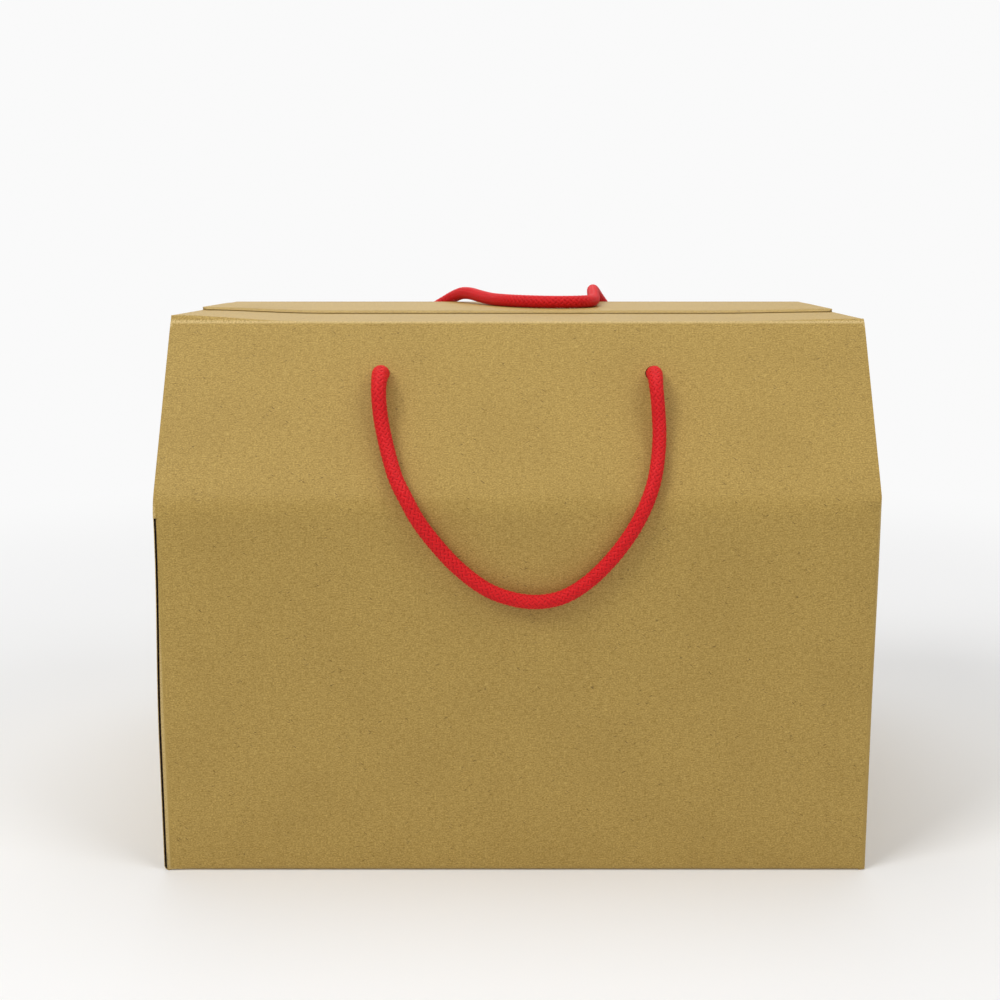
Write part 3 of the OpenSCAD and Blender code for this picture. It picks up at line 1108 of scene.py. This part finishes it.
@dataclass
class Carton:
    """The folded box and its lid flap."""

    sizes: BoxSizes
    kraft: KraftFinish = KraftFinish()
    flute: FluteEdgeWithPaintedShade = FluteEdgeWithPaintedShade()
    left_lift: float = 2.8 * MM
    right_lift: float = 1.2 * MM
    lift_from: float = 95 * MM
    lift_rise: float = 2.4 * MM
    lean_below: float = 150 * MM
    lean_full: float = 60 * MM
    foot_shift: float = 1.1 * MM
    foot_stretch: float = 0.6 * MM
    tab_fold: float = 2.2 * MM
    tab_press: float = 0.85
    crush_depth: float = 1.0 * MM
    crush_length: float = 4 * MM
    hinge_calm: float = 30 * MM
    crease_reach: float = 3 * MM
    crease_inset: float = 1.2 * MM
    liner: float = 0.3 * MM

    def end_lift(self, point: Vector) -> float:
        """How far the top's two flaps stand up at their ends, most at the left.

        Args:
            point: A point of a flap.

        Returns:
            The height.
        """
        high = self.left_lift if point.x < 0 else self.right_lift
        ends = smooth((abs(point.x) - self.lift_from) / (self.sizes.half_width - self.lift_from))
        front = -self.sizes.half_top
        fall = 1.0 - 0.93 * min(max((point.y - front) / (2 * self.sizes.half_top), 0.0), 1.0)
        return high * ends * fall * smooth((point.y - front) / self.lift_rise)

    def body_shape(self, point: Vector) -> Vector:
        """Small move of the body's points.

        The foot leans left, the front flap's ends lift, and the front wall's tab is pressed to a sharp fold.

        Args:
            point: A point of the body.

        Returns:
            Its move.
        """
        sizes = self.sizes
        low = smooth((self.lean_below - point.z) / (self.lean_below - self.lean_full))
        front = smooth((sizes.half_depth - point.y) / (2 * sizes.half_depth))
        share = point.x / sizes.half_width
        move = Vector((-(self.foot_shift - self.foot_stretch * share) * low * front, 0, 0))
        if point.z > sizes.wall_top - 1.45 * MM and point.y < 0.1 * sizes.half_top:
            move.z = self.end_lift(point)
        inside = sizes.board + self.tab_fold
        left, behind = point.x + sizes.half_width, point.y + sizes.half_depth
        from_fold = math.hypot(left - inside, behind - self.tab_fold)
        outer = 0.7 * self.tab_fold < from_fold < 1.02 * self.tab_fold
        ahead = left < inside and behind < self.tab_fold + 0.01 * MM
        if outer and ahead and point.z < sizes.shoulder:
            move.y = -self.tab_press * behind
        return move

    def lid_shape(self, point: Vector) -> Vector:
        """Small move of the lid flap's points: lifted ends and a free edge that the knife has crushed.

        Args:
            point: A point of the lid flap.

        Returns:
            Its move.
        """
        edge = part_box("lid_flap")[0].y
        above = (point.z - (self.sizes.lid_top - self.sizes.board)) / self.sizes.board
        near_edge = smooth(1.0 - (point.y - edge) / self.crush_length)
        crushed = self.crush_depth * near_edge * min(max(above, 0.0), 1.0)
        hinge = smooth((self.sizes.half_top - point.y) / self.hinge_calm)
        return Vector((0, 0, self.end_lift(point) * hinge - crushed))

    def crease_strip(self) -> bpy.types.Mesh:
        """The outer liner where it runs from the rear slope round the lid's crease.

        Returns:
            Its mesh.
        """
        sizes = self.sizes
        up = Vector((0, -math.sin(sizes.lean), math.cos(sizes.lean)))
        out = Vector((0, math.cos(sizes.lean), math.sin(sizes.lean)))
        corner = Vector((0, sizes.half_top, sizes.wall_top))
        rise = sizes.lid_top - sizes.wall_top
        skin = 0.05 * MM
        profile = [
            corner - up * self.crease_reach + out * skin,
            corner - up * rise + out * 0.25 * rise,
            corner + Vector((0, 0.3 * rise, 0.1 * rise)),
            corner + Vector((0, 0.15 * rise, 0.7 * rise)),
            corner + Vector((0, -0.15 * rise, rise + skin)),
            corner + Vector((0, -self.crease_reach, rise + skin)),
        ]
        bm = bmesh.new()
        left = Vector((-sizes.half_width + self.crease_inset, 0, 0))
        verts = [bm.verts.new(left + point) for point in profile]
        edges = [bm.edges.new(pair) for pair in zip(verts, verts[1:])]
        run = bmesh.ops.extrude_edge_only(bm, edges=edges)["geom"]
        moved = [g for g in run if isinstance(g, bmesh.types.BMVert)]
        bmesh.ops.translate(bm, verts=moved, vec=(-2 * left.x, 0, 0))
        bmesh.ops.recalc_face_normals(bm, faces=bm.faces)
        if sum(face.normal.y + face.normal.z for face in bm.faces) < 0:
            bmesh.ops.reverse_faces(bm, faces=bm.faces)
        bmesh.ops.solidify(bm, geom=bm.faces[:], thickness=self.liner)
        layer = bm.loops.layers.uv.new("panel")
        for face in bm.faces:
            for loop in face.loops:
                loop[layer].uv = (loop.vert.co.x, loop.vert.co.z - loop.vert.co.y)
        mesh = bpy.data.meshes.new("crease")
        bm.to_mesh(mesh)
        bm.free()
        mesh.shade_smooth()
        mesh.set_sharp_from_angle(angle=math.radians(50))
        return mesh

    def build(self) -> None:
        """Makes the board pieces."""
        board = Board(self.sizes)
        # Raw edge materials: the groove's painted near-black shade, and the crushed edge with painted shade
        # between its waves.
        edges = [self.flute.material("fluting_painted_shade"), self.flute.crushed().material("crushed_edge")]
        materials = [self.kraft.material("kraft_liner", self.sizes), *edges]
        front = -self.sizes.half_top
        cuts = [front + self.lift_rise * share for share in (0.25, 0.5, 0.75, 1.0)]
        mesh = board.mesh("box_body", self.body_shape, cuts)
        body = stand("carton", mesh, Body.BOX, materials)
        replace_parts(body, "box_body")
        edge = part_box("lid_flap")[0].y
        cuts = [edge + self.crush_length * share for share in (0.2, 0.4, 0.6, 0.8, 1.0)]
        mesh = board.mesh("lid_flap", self.lid_shape, cuts)
        lid = stand("lid_panel", mesh, Body.LID, materials)
        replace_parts(lid, "lid_flap")
        crease = stand("lid_crease", self.crease_strip(), None, materials[:1])
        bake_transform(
            crease, Body.BOX.value, Body.LID.value,
            start=(0, self.sizes.half_top + MM, self.sizes.wall_top - MM),
            end=(0, self.sizes.half_top - 2 * MM, self.sizes.lid_top),
        )


# Stage


@dataclass
class Studio:
    """Camera, soft lights, floor and backdrop."""

    camera_at: Point = (0.0, -0.753, 0.280)
    pitch_down: float = 10.2
    lens: float = 54.16
    shift: float = -0.0175
    floor_colour: Colour = (0.93, 0.93, 0.93)
    floor_far: Colour = (0.955, 0.955, 0.955)
    floor_fades: tuple[float, float] = (0.30, 0.95)
    backdrop: Colour = (0.955, 0.955, 0.955)
    ambient: float = 0.27
    floor_half: float = 6.0
    aim: Point = (0.0, 0.0, 0.12)
    softboxes: Sequence[tuple[str, Point, float, float]] = (
        ("key", (-1.25, -1.15, 1.75), 0.9, 21),
        ("fill", (1.35, -1.05, 1.6), 1.1, 11),
        ("overhead", (0.0, 0.25, 2.1), 1.6, 17),
        ("rear", (-0.2, 2.0, 1.3), 1.4, 4.5),
    )

    def camera(self) -> None:
        """The photograph's camera."""
        data = bpy.data.cameras.new("camera")
        data.lens = self.lens
        data.sensor_width = 36.0
        data.shift_x = self.shift
        data.clip_start = 0.01
        data.clip_end = 50.0
        camera = bpy.data.objects.new("camera", data)
        camera.location = self.camera_at
        camera.rotation_euler = (math.radians(90 - self.pitch_down), 0.0, 0.0)
        bpy.context.scene.collection.objects.link(camera)
        bpy.context.scene.camera = camera

    def softbox(self, name: str, place: Point, size: float, power: float) -> None:
        """A square soft light aimed at the box.

        Args:
            name: Its name.
            place: Where it hangs.
            size: Its side.
            power: Its power in watts.
        """
        data = bpy.data.lights.new(name, "AREA")
        data.shape = "SQUARE"
        data.size = size
        data.energy = power
        light = bpy.data.objects.new(name, data)
        light.location = place
        aim = Vector(self.aim) - light.location
        light.rotation_euler = aim.to_track_quat("-Z", "Y").to_euler()
        bpy.context.scene.collection.objects.link(light)

    def world(self) -> None:
        """Even light from all round, with a white background for what looks past the floor."""
        world = bpy.data.worlds.new("studio")
        bpy.context.scene.world = world
        world.use_nodes = True
        tree = world.node_tree
        tree.nodes.clear()
        path = tree.nodes.new("ShaderNodeLightPath")
        seen = tree.nodes.new("ShaderNodeMath")
        seen.operation = "MAXIMUM"
        tree.links.new(path.outputs["Is Camera Ray"], seen.inputs[0])
        more = tree.nodes.new("ShaderNodeMath")
        more.operation = "MAXIMUM"
        tree.links.new(path.outputs["Is Glossy Ray"], more.inputs[0])
        tree.links.new(path.outputs["Is Transmission Ray"], more.inputs[1])
        tree.links.new(more.outputs[0], seen.inputs[1])
        mix = tree.nodes.new("ShaderNodeMixShader")
        light = tree.nodes.new("ShaderNodeBackground")
        light.inputs[0].default_value = (1, 1, 1, 1)
        light.inputs[1].default_value = self.ambient
        white = tree.nodes.new("ShaderNodeBackground")
        white.inputs[0].default_value = (*self.backdrop, 1)
        white.inputs[1].default_value = 1.0
        output = tree.nodes.new("ShaderNodeOutputWorld")
        tree.links.new(seen.outputs[0], mix.inputs[0])
        tree.links.new(light.outputs[0], mix.inputs[1])
        tree.links.new(white.outputs[0], mix.inputs[2])
        tree.links.new(mix.outputs[0], output.inputs[0])

    def floor(self) -> None:
        """A wide pale table top."""
        bm = bmesh.new()
        bmesh.ops.create_grid(bm, x_segments=2, y_segments=2, size=self.floor_half)
        mesh = bpy.data.meshes.new("floor")
        bm.to_mesh(mesh)
        bm.free()
        mesh.materials.append(self.floor_material())
        floor = bpy.data.objects.new("floor", mesh)
        bpy.context.scene.collection.objects.link(floor)

    def floor_material(self) -> bpy.types.Material:
        """Matt paper that takes the box's shadow and turns to even white further out."""
        s = Shader("floor")
        x, y, _ = s.coordinates()
        path = s.node("ShaderNodeLightPath", {}, {})
        rays = [Field(s, path.outputs[f"Is {word} Ray"]) for word in ("Camera", "Glossy", "Transmission")]
        seen = rays[0].apply("MAXIMUM", rays[1].apply("MAXIMUM", rays[2]))
        away = x.hypot(y).step(*self.floor_fades)
        white = s.node("ShaderNodeEmission", {}, {"Color": (*self.floor_far, 1.0), "Strength": 1.0})
        s.finish(Base_Color=self.floor_colour, Roughness=0.9, Specular_IOR_Level=0.1)
        values = {0: away * seen, 1: s.surface.outputs[0], 2: white.outputs[0]}
        mixed = s.node("ShaderNodeMixShader", {}, values)
        output = next(n for n in s.tree.nodes if n.bl_idname == "ShaderNodeOutputMaterial")
        s.tree.links.new(mixed.outputs[0], output.inputs[0])
        return s.material

    def build(self) -> None:
        """Makes the stage."""
        self.camera()
        for name, place, size, power in self.softboxes:
            self.softbox(name, place, size, power)
        self.world()
        self.floor()
        bpy.context.scene.view_settings.view_transform = "Standard"


def main() -> None:
    """Builds the stage, the handles and the box."""
    logging.basicConfig(level=logging.INFO, format="%(message)s")
    sizes = BoxSizes.from_frame()
    Studio().build()
    Handles(sizes).build()
    Carton(sizes).build()


if __name__ == "__main__":
    main()
